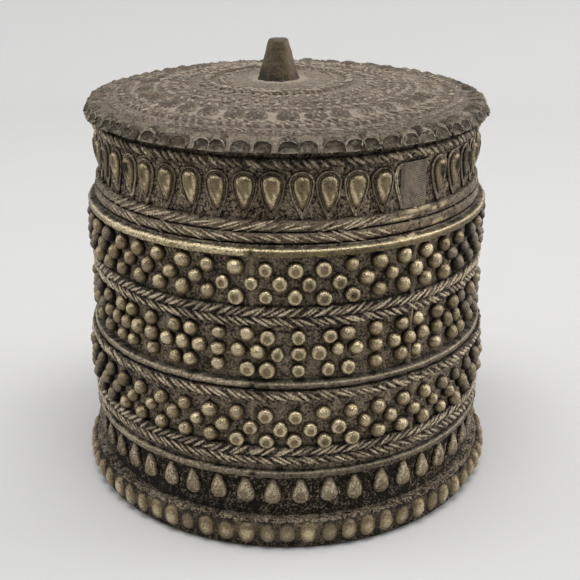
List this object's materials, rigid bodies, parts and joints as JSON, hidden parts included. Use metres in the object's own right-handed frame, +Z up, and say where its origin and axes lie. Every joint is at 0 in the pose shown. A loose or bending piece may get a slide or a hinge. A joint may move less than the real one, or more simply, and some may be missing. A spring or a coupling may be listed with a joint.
{
  "type": "trinket box",
  "caption": "Round cast metal box with a lift-off lid, its wall covered in bands of pellets, drops and twisted wire.",
  "frame": {"origin": "centre of the foot's flat underside", "axes": "+Z up through the lid, -Y towards the front, with the plain patch of the neck to the right of it, +X to the right"},
  "size_m": [0.082, 0.082, 0.0836],
  "materials": {
    "aged_wall": "cast, dark brown-grey patina, dull",
    "worn_brass": "cast, rubbed bright on the crowns, dark at the roots",
    "dull_rope": "cast twisted wire, dull, dirt between the strands",
    "polished_brass": "plain wire, rubbed bright",
    "dusty_lid": "cast, dull, with pale dust in the hollows",
    "knob_brass": "smooth, dull, with bright specks",
    "scraped_patch": "plain, brushed crosswise, with yellow scrapes"
  },
  "bodies": {
    "box": {"foot_ring": "aged_wall", "foot_beads": "worn_brass", "box_floor": "aged_wall", "box_wall": "aged_wall", "waist_drops": "worn_brass", "waist_drop_loops": "dull_rope", "lower_plain_wire": "polished_brass", "lower_braid_bottom_rope": "dull_rope", "lower_braid_top_rope": "dull_rope", "lower_pellets": "worn_brass", "middle_rope": "dull_rope", "middle_plain_wire": "polished_brass", "middle_pellets": "worn_brass", "upper_braid_bottom_rope": "dull_rope", "upper_braid_top_rope": "dull_rope", "upper_pellets": "worn_brass", "polished_band": "polished_brass", "shoulder_rope_lower": "dull_rope", "shoulder_rope_upper": "dull_rope", "neck_drops": "worn_brass", "neck_drop_loops": "dull_rope", "neck_rope": "dull_rope", "side_patch": "scraped_patch"},
    "lid": {"lid_plate": "dusty_lid", "lid_spigot": "aged_wall", "lid_petals": "dusty_lid", "lid_outer_wire": "dusty_lid", "lid_outer_rope": "dusty_lid", "lid_mounds": "dusty_lid", "lid_middle_wire": "dusty_lid", "lid_inner_rope": "dusty_lid", "lid_core_rope": "dusty_lid", "lid_knob": "knob_brass"}
  },
  "joints": [
    {"name": "lid_lift", "type": "slide", "parent": "box", "child": "lid", "axis": [0, 0, 1], "range_m": [0, 0.06]}
  ]
}
